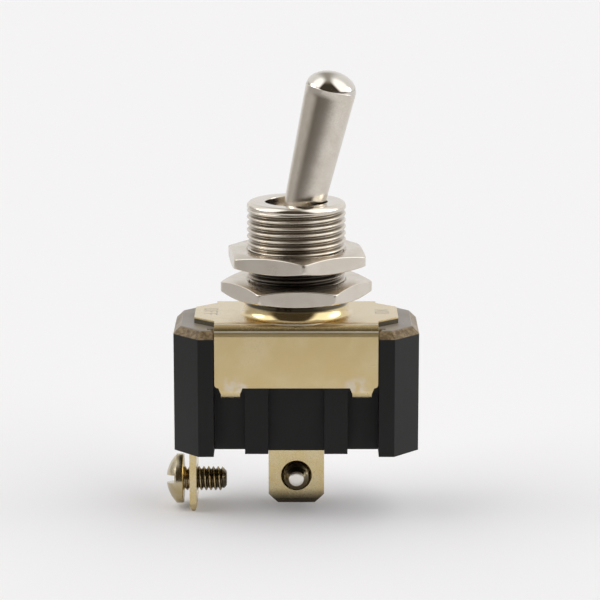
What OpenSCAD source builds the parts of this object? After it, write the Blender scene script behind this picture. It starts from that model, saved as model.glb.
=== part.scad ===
// Panel toggle switch, single pole, on and off.
// The origin lies on the bushing's axis, level with the front face of the face nut.
// +Z runs along the bushing towards the lever, and the lever swings in the XZ plane.

/* [Bushing] */
// Outer radius of the bushing's thread
thread_r = 5.95; // [5.9:0.01:6.1]
// Pitch radius, at which the bushing and its nuts meet
pitch_r = 5.7; // [5.65:0.01:5.75]
// Length of thread that stands above the face nut
thread_above = 5.75; // [4.5:0.05:8]
// Rounding of the bushing's top rim
rim_round = 0.6; // [0.3:0.1:0.9]
// Radius of the bushing's mouth
mouth_r = 3.75; // [3.6:0.05:3.9]
// Rounding of the mouth's edge
mouth_round = 0.18; // [0.1:0.02:0.3]
// Radius of the spigot that is staked into the cover frame
spigot_r = 5.5; // [5.4:0.05:5.6]
// Radius of the bore below the ball, at its lower end
skirt_r = 4.45; // [4.3:0.05:4.6]

/* [Nuts] */
// Width across the face nut's flats
face_nut_af = 15.76; // [15:0.1:17]
// Width across the back nut's flats
back_nut_af = 16; // [15:0.1:17]
// Depth of the nuts' chamfers at their corners
nut_chamfer = 0.45; // [0.3:0.05:0.6]
// Countersink of the nuts' bores
nut_sink = 0.4; // [0.2:0.05:0.6]
// Thickness of each nut
nut_t = 1.95; // [1.6:0.05:2.4]
// Room between the nuts, where the panel is clamped
panel_gap = 1.8; // [1.2:0.1:3]
// Turn of the face nut about the bushing, in degrees
face_nut_turn = -84; // [-90:1:90]
// Turn of the back nut about the bushing, in degrees
back_nut_turn = 1; // [-30:1:30]

/* [Lever] */
// Tilt of the lever from upright, each way, in degrees
lever_tilt = 12.8; // [9:0.1:13]
// Length from the pivot to the tip
lever_len = 20.7; // [17:0.1:26]
// Radius at the domed end
tip_r = 3.05; // [2.6:0.05:3.2]
// Height of the dome
dome_h = 2.15; // [1.5:0.05:3]
// Radius where the handle leaves the ball
neck_r = 2.38; // [2:0.02:2.4]
// Radius of the ball
ball_r = 4.1; // [4:0.02:4.15]
// Depth of the pivot below the bushing's rim
pivot_depth = 4.63; // [4.4:0.01:5]
// Radius of the tail below the ball
tail_r = 1.9; // [1.75:0.05:2]
// Length of the tail, from the pivot
tail_len = 10.6; // [10:0.1:11]
// Radius of the cross pin
pin_r = 0.8; // [0.6:0.05:1]
// Half length of the cross pin
pin_reach = 4.75; // [4.5:0.05:4.8]

/* [Plunger] */
// Radius of the plunger and of its nose
plunger_r = 1.25; // [1:0.05:1.3]
// Distance from the pivot to the centre of the nose
plunger_len = 15; // [14.5:0.1:15.5]
// Length of plunger held in the tail
plunger_hold = 2; // [1.5:0.1:3]
// Radius of the spring's wire
wire_r = 0.18; // [0.12:0.01:0.22]
// Number of the spring's turns
spring_turns = 8; // [5:1:10]

/* [Rocker] */
// Tilt of the rocker from level, each way, in degrees
rocker_tilt = 9; // [6:0.5:10]
// Thickness of the rocker's strip
rocker_t = 0.8; // [0.6:0.05:0.9]
// Width of the rocker
rocker_w = 3.4; // [2.8:0.1:3.6]
// Reach of the contact arm
arm_reach = 9.4; // [9.2:0.1:9.8]
// Distance of the moving contact from the rocker's middle
contact_x = 8.2; // [7.6:0.1:8.2]
// Radius of the trunnion that the rocker turns on
trunnion_r = 0.7; // [0.6:0.05:0.8]
// Radius of the moving contact
contact_r = 1.35; // [1:0.05:1.5]

/* [Cover frame] */
// Thickness of the sheet
sheet_t = 0.75; // [0.6:0.05:0.9]
// Width of the frame between its end tabs
frame_w = 19.5; // [18.5:0.1:19.6]
// Depth over the front and back flanges
frame_d = 14.74; // [14.4:0.02:15]
// Outer radius of the folds
fold_r = 1.5; // [1:0.1:1.8]
// Height of the flanges
flange_h = 7.7; // [6.5:0.1:8]
// Reach of the end tabs from the middle
tab_reach = 12.25; // [11.8:0.05:12.8]
// Width of the staking tabs where they leave the flange
stake_w = 2.9; // [2.4:0.1:3.2]
// Width of the staking tabs at their fold
stake_tip_w = 2.3; // [1.8:0.1:2.4]
// Rounding of the flanges' lower corners
flange_round = 0.45; // [0.2:0.05:0.8]
// Height of the drawn collar above the plate
collar_h = 2.2; // [1.8:0.1:3]
// Outer radius of the drawn collar
collar_r = 6.25; // [6.2:0.05:6.6]
// Reach of the flare at the collar's foot
collar_flare = 0.65; // [0.4:0.05:0.8]
// Thickness of the fibre liner under the frame
liner_t = 0.4; // [0.2:0.05:0.6]

/* [Case] */
// Overall width of the case
case_w = 29.4; // [28.5:0.1:31]
// Overall depth of the case
case_d = 15.6; // [15.2:0.1:16.4]
// Height of the case
case_h = 15.3; // [14.8:0.1:17]
// Width of the end faces between the corner chamfers
end_face_w = 9.1; // [8:0.1:10]
// Distance of the corner chamfers' inner edges from the middle
corner_x = 11.7; // [11.2:0.1:12.2]
// Bevel round the top of the end blocks
case_bevel = 0.9; // [0.5:0.1:1.1]
// Bevel of the end blocks' sides that face the frame
block_bevel = 0.3; // [0.1:0.05:0.5]
// Inner half width of the cavity
cavity_x = 11.2; // [11:0.1:11.5]
// Inner depth of the cavity
cavity_d = 5.8; // [5.6:0.1:6]
// Thickness of the floor
floor_t = 1.8; // [1.5:0.1:2.2]
// Depth of the centre panel's recess
panel_sink = 1.65; // [1.2:0.05:1.9]
// Half width of the centre panel
panel_x = 3.36; // [3:0.02:3.6]
// Depth of the recesses that take the staking tabs
recess_sink = 2.15; // [1.9:0.05:2.3]

/* [Terminals] */
// Thickness of the terminals
term_t = 0.85; // [0.7:0.05:0.95]
// Width of the terminals
term_w = 6.8; // [6.2:0.1:6.9]
// Length of the centre terminal below the case
centre_len = 7.95; // [7.5:0.05:10]
// Length of the end terminal below the case
end_len = 8.4; // [8:0.05:10]
// Height of the screws' axes above the terminals' lower ends
screw_rise = 3.5; // [3.4:0.05:3.8]
// Corner chamfer of the terminals
term_corner = 1.15; // [0.8:0.05:1.3]
// Distance of the end terminal's outer face from the middle
end_term_x = 13; // [12.9:0.05:13.2]
// Width of the centre terminal's tang
tang_w = 3.6; // [3:0.1:4]

/* [Screws] */
// Outer radius of the screws' thread
screw_r = 1.5; // [1.4:0.05:1.65]
// Radius of the screws' points
point_r = 0.9; // [0.8:0.05:1.1]
// Length of the screws' points
point_h = 0.6; // [0.4:0.05:0.8]
// Length of the screws below their heads
screw_len = 5.25; // [4.8:0.05:6]
// Radius of the heads
head_r = 3.03; // [2.7:0.05:3.2]
// Height of the heads
head_h = 2.15; // [1.8:0.05:2.4]
// Height of the heads' cylindrical edge
head_edge = 0.85; // [0.6:0.05:1.1]
// Width of the driver slots
slot_w = 0.95; // [0.7:0.05:1.2]
// Depth of the driver slots
slot_d = 1.05; // [0.8:0.05:1.2]
// Turn of the driver slots from level, in degrees
slot_turn = -12; // [-30:1:30]
// Room under the end screw's head
end_screw_gap = 0.82; // [0.1:0.05:1.2]
// Length of the centre screw's tip in front of its terminal
centre_screw_tip = 1.6; // [0.8:0.05:2]

/* [Clearances] */
// Radial clearance of pieces that turn or slide in a bore
run_gap = 0.04; // [0.03:0.005:0.06]
// Radial clearance of the ball and of the cross pin in the bushing
ball_gap = 0.06; // [0.04:0.005:0.08]
// Clearance of pieces that are pressed or staked together
press_gap = 0.01; // [0.01:0.005:0.02]
// Clearance between the plunger's nose and the rocker
nose_gap = 0.08; // [0.06:0.01:0.1]
// Clearance between the closed contacts, and at the stop
contact_gap = 0.04; // [0.03:0.01:0.06]
// Clearance of the metal pieces that lie in the case
seat_gap = 0.1; // [0.05:0.05:0.15]
// Clearance between the frame's flanges and the case
flange_gap = 0.12; // [0.05:0.01:0.2]
// Room beside the staking tabs in their recesses
stake_gap = 0.24; // [0.1:0.02:0.4]

/* [Hidden] */
$fn = 72;
e = 0.02;

// levels along the bushing, from the origin
rim_z = thread_above;
pivot_z = rim_z - pivot_depth;
back_nut_top = -nut_t - panel_gap;
collar_top = back_nut_top - nut_t - press_gap;
plate_top = collar_top - collar_h;
case_top = plate_top - sheet_t;
case_bottom = case_top - case_h;
floor_top = case_bottom + floor_t;

// ball seat and staked end of the bushing
seat_r = ball_r + ball_gap;
spigot_flare = 0.45;

// parts of the lever, measured along it from the pivot
neck_start = 3;
dome_start = lever_len - dome_h;
bore_top = 2;
spring_len = plunger_len - plunger_hold - (plunger_len - tail_len) - bore_top - 2 * press_gap;

// where the plunger's nose stands in the rocker's own frame: straight down, and thrown over
rocker_under = 0.5;
fulcrum_drop = plunger_len + plunger_r + nose_gap + rocker_t + rocker_under;
fulcrum_z = pivot_z - fulcrum_drop;
nose_low = fulcrum_drop - plunger_len;
nose_x = plunger_len * sin(lever_tilt);
nose_z = fulcrum_drop - plunger_len * cos(lever_tilt);
thrown_x = nose_x * cos(rocker_tilt) - nose_z * sin(rocker_tilt);
thrown_z = nose_x * sin(rocker_tilt) + nose_z * cos(rocker_tilt);
sweep = thrown_z - nose_low;
nose_path_r = (thrown_x * thrown_x + sweep * sweep) / (2 * sweep);
trough_r = nose_path_r + plunger_r + nose_gap;
trough_z = nose_low + nose_path_r;
trough_x = thrown_x + plunger_r;
slope_x = 1.7;
rest_reach = arm_reach - 0.7;
arm_z = rocker_under + 0.75;

// contacts and stop, in the rocker's frame and then in the part's
contact_head = 0.5;
contact_dome = 0.3;
contact_dome_r = (contact_r * contact_r + contact_dome * contact_dome) / (2 * contact_dome);
arm_under = arm_z - rocker_t;
dome_z = arm_under - contact_head - contact_dome + contact_dome_r;
fixed_x = contact_x * cos(rocker_tilt) + dome_z * sin(rocker_tilt);
fixed_top = fulcrum_z - contact_x * sin(rocker_tilt) + dome_z * cos(rocker_tilt)
  - contact_dome_r - contact_gap;
fixed_head = 0.7;
fixed_head_r = 1.6;
rivet_r = 1.1;
shelf_top = fixed_top - fixed_head;
shelf_x = fixed_x - fixed_head_r - 0.35;
stop_r = 0.8;
stop_at = 7.9;
stop_x = stop_at * cos(rocker_tilt) + (arm_under - stop_r - contact_gap) * sin(rocker_tilt);
stop_z = fulcrum_z - stop_at * sin(rocker_tilt)
  + (arm_under - stop_r - contact_gap) * cos(rocker_tilt);

// how far the nuts' face circles lie inside their flats
nut_face_set = 0.12;

// cover frame and case
collar_round = 0.55;
liner_lap = 0.4;
frame_inner = frame_d / 2 - sheet_t;
tab_root = 5.05;
tab_chamfer = 2.2;
stake_set = 1.91;
stake_x = frame_w / 2 - stake_set;
stake_fold = 1.15;
stake_lip = 1.5;
ledge_drop = 0.65;
panel_lap = 0.55;
ledge_z = plate_top - flange_h - ledge_drop;
panel_top = plate_top - flange_h + panel_lap;
stake_bottom = ledge_z - sheet_t - seat_gap / 2;
block_x = frame_w / 2 + seat_gap;
waist_y = frame_inner - flange_gap;
panel_y = waist_y - panel_sink;
recess_y = waist_y - recess_sink;
recess_x = stake_x - stake_w / 2 - stake_gap;
liner_x = cavity_x + liner_lap;
liner_d = cavity_d + 2 * liner_lap;
cavity_round = 1;

// terminals and screws
foot_sink = 0.5;
end_channel = term_t + foot_sink;
foot_w = 5.2;
foot_end = fixed_x - rivet_r - 0.9;
rivet_tail = 0.45;
bracket_t = 0.75;
bracket_x = 2.4;
bracket_d = cavity_d - 2 * seat_gap;
peen_h = 0.35;
screw_z_centre = case_bottom - centre_len + screw_rise;
screw_z_end = case_bottom - end_len + screw_rise;

// Carries the lever's own frame, whose +Z runs from the pivot to the tip, into the part's.
module on_lever() {
  translate([0, 0, pivot_z]) rotate([0, lever_tilt, 0]) children();
}

// Carries the rocker's own frame, whose origin is the trunnion, into the part's.
module on_rocker() {
  translate([0, 0, fulcrum_z]) rotate([0, -rocker_tilt, 0]) children();
}

// Repeats its children to the right and to the left, or to the front and to the back.
module both_x() {
  for (side = [0, 1]) mirror([side, 0, 0]) children();
}
module both_y() {
  for (side = [0, 1]) mirror([0, side, 0]) children();
}

// A block by its lowest corner and its highest corner.
module block(low, high) {
  translate(low) cube(high - low);
}

// Plan of the case: two end blocks with chamfered corners, and a waist between them.
module case_plan() {
  polygon([
    [block_x, waist_y], [block_x, case_d / 2], [corner_x, case_d / 2],
    [case_w / 2, end_face_w / 2], [case_w / 2, -end_face_w / 2],
    [corner_x, -case_d / 2], [block_x, -case_d / 2], [block_x, -waist_y],
    [-block_x, -waist_y], [-block_x, -case_d / 2], [-corner_x, -case_d / 2],
    [-case_w / 2, -end_face_w / 2], [-case_w / 2, end_face_w / 2],
    [-corner_x, case_d / 2], [-block_x, case_d / 2], [-block_x, waist_y]
  ]);
}

// Cuts the top edge that runs from a to b, with the case on its left.
module top_bevel(a, b, size = case_bevel) {
  along = b - a;
  run = norm(along);
  translate([a[0], a[1], case_top]) rotate([0, 0, atan2(along[1], along[0])])
    rotate([90, 0, 90]) translate([0, 0, -size])
      linear_extrude(run + 2 * size)
        polygon([[-e, -size - e], [-e, e], [size + e, e]]);
}

// Moulded case: cavity, contact shelf, stop, recesses and terminal channel.
module case() {
  low = [block_x, -case_d / 2];
  corner = [corner_x, -case_d / 2];
  side = [case_w / 2, -end_face_w / 2];
  waist = [block_x, -waist_y];
  color([0.13, 0.12, 0.12]) difference() {
    translate([0, 0, case_bottom]) linear_extrude(case_h) case_plan();
    both_x() both_y() {
      top_bevel(low, corner);
      top_bevel(corner, side);
    }
    both_x() top_bevel(side, [side[0], -side[1]]);
    both_x() both_y() top_bevel([block_x, waist[1]], low, block_bevel);
    both_y() top_bevel([-waist[0], waist[1]], waist, fold_r - sheet_t);
    case_cavity();
    both_y() {
      both_x() block([recess_x, recess_y, case_bottom - 1], [block_x, case_d, ledge_z]);
      block([-panel_x, panel_y, case_bottom - 1], [panel_x, case_d, panel_top]);
    }
    // seat of the liner
    block([-liner_x - seat_gap, -liner_d / 2 - seat_gap, case_top - liner_t],
      [liner_x + seat_gap, liner_d / 2 + seat_gap, case_top + 1]);
    // slot for the centre terminal's tang
    block([-tang_w / 2 - seat_gap, -term_t / 2 - seat_gap, case_bottom - 1],
      [tang_w / 2 + seat_gap, term_t / 2 + seat_gap, floor_top + 1]);
    // channel for the end terminal, and hole for its rivet
    end_terminal_channel();
    translate([-fixed_x, 0, case_bottom - 1]) cylinder(r = rivet_r + press_gap, h = case_h);
  }
}

// The cavity, less the shelf under the fixed contact and the stop for the free arm.
module case_cavity() {
  difference() {
    translate([0, 0, floor_top]) linear_extrude(case_h) cavity_plan();
    block([-case_w / 2, -case_d, floor_top - 1], [-shelf_x, case_d, shelf_top]);
    block([stop_x - stop_r, -case_d, floor_top - 1], [stop_x + stop_r, case_d, stop_z]);
    translate([stop_x, case_d, stop_z]) rotate([90, 0, 0]) cylinder(r = stop_r, h = 2 * case_d);
  }
}

// Plan of the cavity, with round corners.
module cavity_plan() {
  half = cavity_d / 2;
  square([2 * (cavity_x - cavity_round), cavity_d], center = true);
  square([2 * cavity_x, cavity_d - 2 * cavity_round], center = true);
  both_x() both_y() translate([cavity_x - cavity_round, half - cavity_round])
    circle(cavity_round);
}

// Channel under the case that takes the end terminal's foot.
module end_terminal_channel() {
  block([-end_term_x - seat_gap, -term_w / 2 - seat_gap, case_bottom - 1],
    [-cavity_x + 0.6, term_w / 2 + seat_gap, case_bottom + end_channel]);
  block([-cavity_x, -foot_w / 2 - seat_gap, case_bottom - 1],
    [-foot_end + seat_gap, foot_w / 2 + seat_gap, case_bottom + end_channel]);
}

// Section of the frame across its folds: a plate with a flange down each side.
module frame_section() {
  half = frame_d / 2;
  inner = fold_r - sheet_t;
  bend = half - fold_r;
  translate([-bend, -sheet_t]) square([2 * bend, sheet_t]);
  both_x() {
    difference() {
      translate([bend, -fold_r]) intersection() {
        circle(fold_r);
        square(fold_r);
      }
      translate([bend, -fold_r]) circle(inner);
    }
    translate([half - sheet_t, -flange_h]) square([sheet_t, flange_h - fold_r]);
  }
}

// One staking tab: down from the flange, then folded in under the case's ledge.
module stake_section() {
  half = frame_d / 2;
  lip_z = stake_bottom - plate_top;
  inner = stake_fold - sheet_t;
  translate([half - sheet_t, lip_z + stake_fold])
    square([sheet_t, -flange_h - lip_z - stake_fold + e]);
  translate([half - stake_fold, lip_z + stake_fold]) difference() {
    intersection() {
      circle(stake_fold);
      translate([0, -stake_fold]) square(stake_fold);
    }
    circle(inner);
  }
  translate([half - stake_lip - sheet_t, lip_z])
    square([stake_lip + sheet_t - stake_fold, sheet_t]);
}

// What is left of a staking tab between its tapered sides, seen from the front.
module stake_taper() {
  rise = -flange_h - (stake_bottom - plate_top);
  translate([stake_x, frame_d, 0]) rotate([90, 0, 0]) linear_extrude(2 * frame_d)
    polygon([
      [-stake_w / 2, -flange_h + e], [stake_w / 2, -flange_h + e],
      [stake_tip_w / 2, -flange_h - rise / 2], [stake_tip_w / 2, -flange_h - rise - e],
      [-stake_tip_w / 2, -flange_h - rise - e], [-stake_tip_w / 2, -flange_h - rise / 2]
    ]);
}

// Cuts the round of a flange's lower corner, seen from the front.
module flange_corner() {
  translate([frame_w / 2 - flange_round, frame_d, -flange_h + flange_round]) rotate([90, 0, 0])
    linear_extrude(2 * frame_d) difference() {
      translate([0, -flange_round - 1]) square(flange_round + 1);
      circle(flange_round);
    }
}

// End tab in plan, with its corners cut.
module end_tab_plan() {
  tip = tab_root - tab_chamfer;
  polygon([
    [0, -tab_root], [frame_w / 2, -tab_root], [tab_reach, -tip],
    [tab_reach, tip], [frame_w / 2, tab_root], [0, tab_root]
  ]);
}

// Outline of the drawn collar, turned about the bushing's axis: a rounded top, a wall that
// flares out to its foot as a quarter of an ellipse, and the staked flare's countersink.
module collar_section() {
  bore = spigot_r + press_gap;
  flare_h = collar_h - collar_round;
  flare = [
    for (a = [0:15:90])
      [collar_r + collar_flare * (1 - cos(a)), flare_h * (1 - sin(a))]
  ];
  difference() {
    union() {
      polygon(concat(
        [[bore, -sheet_t], [bore, flare_h]], flare, [[collar_r + collar_flare, -sheet_t]]
      ));
      translate([bore, flare_h - e]) square([collar_r - bore - collar_round, collar_round + e]);
      translate([collar_r - collar_round, flare_h]) circle(collar_round);
    }
    translate([0, -sheet_t - 1]) square([bore, collar_h + sheet_t + 2]);
    polygon([
      [spigot_r - 1, -sheet_t - e],
      [spigot_r + spigot_flare + 2 * press_gap + e, -sheet_t - e],
      [bore, -sheet_t + spigot_flare + press_gap],
      [spigot_r - 1, -sheet_t + spigot_flare]
    ]);
  }
}

// Stamped cover frame: plate, flanges, staking tabs, end tabs and drawn collar.
module cover_frame() {
  color([0.78, 0.69, 0.5]) translate([0, 0, plate_top]) {
    difference() {
      union() {
        rotate([90, 0, 90]) translate([0, 0, -frame_w / 2]) linear_extrude(frame_w)
          frame_section();
        both_x() intersection() {
          translate([stake_x - stake_w / 2, 0, 0]) rotate([90, 0, 90])
            linear_extrude(stake_w) both_x() stake_section();
          stake_taper();
        }
        both_x() translate([0, 0, -sheet_t]) linear_extrude(sheet_t) end_tab_plan();
      }
      translate([0, 0, -fold_r]) cylinder(r = collar_r, h = 2 * fold_r);
      both_x() flange_corner();
    }
    rotate_extrude() collar_section();
  }
}

// Fibre liner between the frame and the cavity, slotted for the lever's tail.
module liner() {
  room = 0.45;
  slot_r = tail_r + room;
  slot_x = (pivot_z - case_top + liner_t) * tan(lever_tilt) + tail_r / cos(lever_tilt) + room
    - 0.1 - slot_r;
  color([0.55, 0.42, 0.27]) translate([0, 0, case_top - liner_t]) linear_extrude(liner_t)
    difference() {
      square([2 * liner_x, liner_d], center = true);
      square([2 * slot_x, 2 * slot_r], center = true);
      both_x() translate([slot_x, 0]) circle(slot_r);
    }
}

// Outside of the bushing in section: full thread above the face nut and between the
// nuts, pitch radius under the nuts, and the spigot with its staked flare.
module bushing_section() {
  nut_seat = pitch_r - run_gap;
  mid = -nut_t - press_gap;
  translate([0, press_gap]) square([thread_r, rim_z - rim_round - press_gap]);
  translate([0, press_gap]) square([thread_r - rim_round, rim_z - press_gap]);
  translate([thread_r - rim_round, rim_z - rim_round]) circle(rim_round);
  translate([0, mid - panel_gap + 2 * press_gap]) square([thread_r, panel_gap - 2 * press_gap]);
  translate([0, collar_top]) square([nut_seat, press_gap - collar_top + e]);
  translate([0, case_top]) square([spigot_r, collar_top - case_top]);
  polygon([
    [0, case_top], [spigot_r + spigot_flare, case_top],
    [spigot_r, case_top + spigot_flare], [0, case_top + spigot_flare]
  ]);
}

// What the rounding takes off the mouth's edge.
module mouth_edge() {
  difference() {
    translate([mouth_r - e, rim_z - mouth_round]) square([mouth_round + e, mouth_round + e]);
    translate([mouth_r + mouth_round, rim_z - mouth_round]) circle(mouth_round);
  }
}

// Threaded bushing with the ball's seat, the tapered skirt and the cross pin's slots.
module bushing() {
  skirt_top = pivot_z - pin_r - 1.5;
  slot_r = pin_r + ball_gap;
  slot_half = pin_reach + ball_gap;
  color([0.72, 0.7, 0.66]) difference() {
    rotate_extrude() bushing_section();
    translate([0, 0, pivot_z]) sphere(r = seat_r);
    translate([0, 0, pivot_z]) cylinder(r = mouth_r, h = pivot_depth + 1);
    rotate_extrude() mouth_edge();
    translate([0, 0, skirt_top]) cylinder(r = seat_r, h = pivot_z - skirt_top);
    translate([0, 0, case_top]) cylinder(r1 = skirt_r, r2 = seat_r, h = skirt_top - case_top);
    translate([0, 0, case_top - 1]) cylinder(r = skirt_r, h = 1 + e);
    translate([0, slot_half, pivot_z]) rotate([90, 0, 0]) cylinder(r = slot_r, h = 2 * slot_half);
    block([-slot_r, -slot_half, case_top - 1], [slot_r, slot_half, pivot_z]);
  }
}

// A hexagon nut with both faces chamfered and its bore countersunk, from z = 0 up.
module hex_nut(across) {
  corner = across / 2 / cos(30);
  face_r = across / 2 - nut_face_set;
  past = corner + nut_face_set;
  fall = nut_chamfer * (past - face_r) / (corner - face_r);
  difference() {
    intersection() {
      linear_extrude(nut_t) circle(r = corner, $fn = 6);
      rotate_extrude() polygon([
        [0, 0], [face_r, 0], [past, fall], [past, nut_t - fall], [face_r, nut_t], [0, nut_t]
      ]);
    }
    translate([0, 0, -1]) cylinder(r = pitch_r, h = nut_t + 2);
    translate([0, 0, -e]) cylinder(r1 = pitch_r + nut_sink + e, r2 = pitch_r, h = nut_sink + e);
    translate([0, 0, nut_t - nut_sink])
      cylinder(r1 = pitch_r, r2 = pitch_r + nut_sink + e, h = nut_sink + e);
  }
}

// Face nut, which holds the panel from the front.
module face_nut() {
  color([0.8, 0.77, 0.73]) translate([0, 0, -nut_t]) rotate([0, 0, face_nut_turn])
    hex_nut(face_nut_af);
}

// Back nut, which sets how far the bushing stands through the panel.
module back_nut() {
  color([0.8, 0.77, 0.73]) translate([0, 0, back_nut_top - nut_t])
    rotate([0, 0, back_nut_turn]) hex_nut(back_nut_af);
}

// Outline of the handle above the ball: a taper that ends in a flattened dome.
function dome_points(steps) = [
  for (i = [0:steps]) let (a = 90 * i / steps)
    [tip_r * cos(a), dome_start + dome_h * sin(a)]
];

// Lever turned from one bar: handle, ball and bored tail, with the cross pin's hole.
module lever() {
  color([0.75, 0.72, 0.68]) on_lever() difference() {
    union() {
      rotate_extrude() polygon(concat([[0, neck_start], [neck_r, neck_start]], dome_points(18)));
      sphere(r = ball_r);
      translate([0, 0, -tail_len]) cylinder(r = tail_r, h = tail_len);
    }
    translate([0, 0, -tail_len - 1]) cylinder(r = plunger_r + run_gap, h = tail_len + 1 - bore_top);
    rotate([90, 0, 0]) cylinder(r = pin_r + press_gap, h = 4 * ball_r, center = true);
  }
}

// Cross pin through the ball, which rides in the bushing's slots.
module pivot_pin() {
  color([0.6, 0.6, 0.62]) translate([0, 0, pivot_z]) rotate([90, 0, 0])
    cylinder(r = pin_r, h = 2 * pin_reach, center = true);
}

// Moulded plunger with a round nose.
module plunger() {
  color([0.9, 0.88, 0.82]) on_lever() {
    translate([0, 0, -plunger_len]) sphere(r = plunger_r);
    translate([0, 0, -plunger_len]) cylinder(r = plunger_r, h = plunger_len - tail_len + plunger_hold);
  }
}

// Points round the spring's wire at each step along its helix.
function helix(r, length, turns, steps) = [
  for (i = [0:steps]) let (a = 360 * turns * i / steps)
    [r * cos(a), r * sin(a), length * i / steps]
];
function wire_ring(p, a, sides) = [
  for (k = [0:sides - 1]) let (b = 360 * k / sides)
    p + wire_r * (cos(b) * [cos(a), sin(a), 0] + sin(b) * [0, 0, 1])
];

// Compression spring between the bore's end and the plunger.
module plunger_spring() {
  sides = 6;
  steps = spring_turns * 12;
  coil_r = plunger_r - wire_r - run_gap;
  path = helix(coil_r, spring_len - 2 * wire_r, spring_turns, steps);
  rings = [for (i = [0:steps]) wire_ring(path[i], 360 * spring_turns * i / steps, sides)];
  points = [for (ring = rings) for (p = ring) p];
  walls = [
    for (i = [0:steps - 1]) for (k = [0:sides - 1])
      let (next = (k + 1) % sides)
        [i * sides + k, i * sides + next, (i + 1) * sides + next, (i + 1) * sides + k]
  ];
  caps = [
    [for (k = [sides - 1:-1:0]) k],
    [for (k = [0:sides - 1]) steps * sides + k]
  ];
  color([0.7, 0.7, 0.72]) on_lever()
    translate([0, 0, -tail_len + plunger_hold + press_gap + wire_r])
      polyhedron(points = points, faces = concat(walls, caps));
}

// Height of the rocker's upper face at x: a round trough, a slope, then a level arm.
function rocker_top(x) =
  let (
    a = abs(x),
    brim = trough_z - sqrt(trough_r * trough_r - trough_x * trough_x),
    s = min(max((a - trough_x) / slope_x, 0), 1)
  )
  a <= trough_x
    ? trough_z - sqrt(trough_r * trough_r - a * a)
    : brim + (arm_z - brim) * (1 - cos(180 * s)) / 2;

// Rocker strip with its trunnion, in the rocker's own frame.
module rocker() {
  steps = 40;
  bend_end = trough_x + slope_x;
  xs = [for (i = [0:steps]) bend_end * (2 * i / steps - 1)];
  upper = concat([[-arm_reach, arm_z]], [for (x = xs) [x, rocker_top(x)]], [[rest_reach, arm_z]]);
  count = len(upper);
  lower = [for (i = [count - 1:-1:0]) [upper[i][0], upper[i][1] - rocker_t]];
  color([0.74, 0.52, 0.3]) on_rocker() difference() {
    union() {
      translate([0, rocker_w / 2, 0]) rotate([90, 0, 0]) linear_extrude(rocker_w)
        polygon(concat(upper, lower));
      rotate([90, 0, 0]) cylinder(r = trunnion_r, h = bracket_d, center = true);
    }
    translate([-contact_x, 0, -1]) cylinder(r = contact_r / 2 + press_gap, h = 4);
  }
}

// Silver contact riveted into the rocker's arm, with a domed face.
module moving_contact() {
  face_z = arm_under - contact_head;
  color([0.85, 0.85, 0.86]) on_rocker() translate([-contact_x, 0, 0]) {
    translate([0, 0, face_z]) cylinder(r = contact_r, h = contact_head);
    intersection() {
      translate([0, 0, dome_z]) sphere(r = contact_dome_r);
      translate([0, 0, face_z - 2 * contact_dome]) cylinder(r = contact_r, h = 2 * contact_dome + e);
    }
    translate([0, 0, arm_under - e]) cylinder(r = contact_r / 2, h = rocker_t + 2 * e);
    translate([0, 0, arm_z]) cylinder(r1 = contact_r * 0.75, r2 = contact_r * 0.6, h = 0.25);
  }
}

// Bracket on the cavity's floor, whose two notched ears carry the rocker's trunnion.
module fulcrum_bracket() {
  ear = bracket_d / 2 - bracket_t;
  ear_top = fulcrum_z + trunnion_r;
  notch_r = trunnion_r + run_gap;
  color([0.8, 0.65, 0.35]) difference() {
    union() {
      block([-bracket_x, -bracket_d / 2, floor_top], [bracket_x, bracket_d / 2, floor_top + bracket_t]);
      both_y() translate([0, ear + bracket_t, 0]) rotate([90, 0, 0]) linear_extrude(bracket_t)
        polygon([
          [-bracket_x, floor_top], [bracket_x, floor_top], [bracket_x, floor_top + bracket_t],
          [1.7, ear_top], [-1.7, ear_top], [-bracket_x, floor_top + bracket_t]
        ]);
    }
    translate([0, 0, fulcrum_z]) rotate([90, 0, 0]) cylinder(r = notch_r, h = 2 * cavity_d, center = true);
    block([-notch_r, -cavity_d, fulcrum_z], [notch_r, cavity_d, fulcrum_z + 4]);
    block([-tang_w / 2 - press_gap, -term_t / 2 - press_gap, floor_top - 1],
      [tang_w / 2 + press_gap, term_t / 2 + press_gap, floor_top + 1.5 * bracket_t]);
  }
}

// Outline of a terminal's tab, hanging from y = 0, with its lower corners cut.
module tab_outline(length) {
  half = term_w / 2;
  polygon([
    [-half, 0], [half, 0], [half, -length + term_corner],
    [half - term_corner, -length], [-half + term_corner, -length], [-half, -length + term_corner]
  ]);
}

// A tab in the XZ plane that hangs from z = 0, coined thinner at its lower edge, with a
// countersunk hole for the screw's thread.
module terminal_tab(length) {
  coin = 0.22;
  coin_h = 0.65;
  hole_z = -length + screw_rise;
  sink = 0.34;
  difference() {
    translate([0, term_t / 2, 0]) rotate([90, 0, 0]) linear_extrude(term_t) tab_outline(length);
    both_y() translate([-term_w, 0, -length]) rotate([90, 0, 90]) linear_extrude(2 * term_w)
      polygon([
        [term_t / 2 - coin, -e], [term_t, -e], [term_t, coin_h],
        [term_t / 2, coin_h]
      ]);
    translate([0, 0, hole_z]) rotate([90, 0, 0]) {
      cylinder(r = screw_r + run_gap, h = 2 * term_t, center = true);
      translate([0, 0, term_t / 2 - sink])
        cylinder(r1 = screw_r + run_gap, r2 = screw_r + run_gap + sink, h = sink + e / 2);
    }
  }
}

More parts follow.
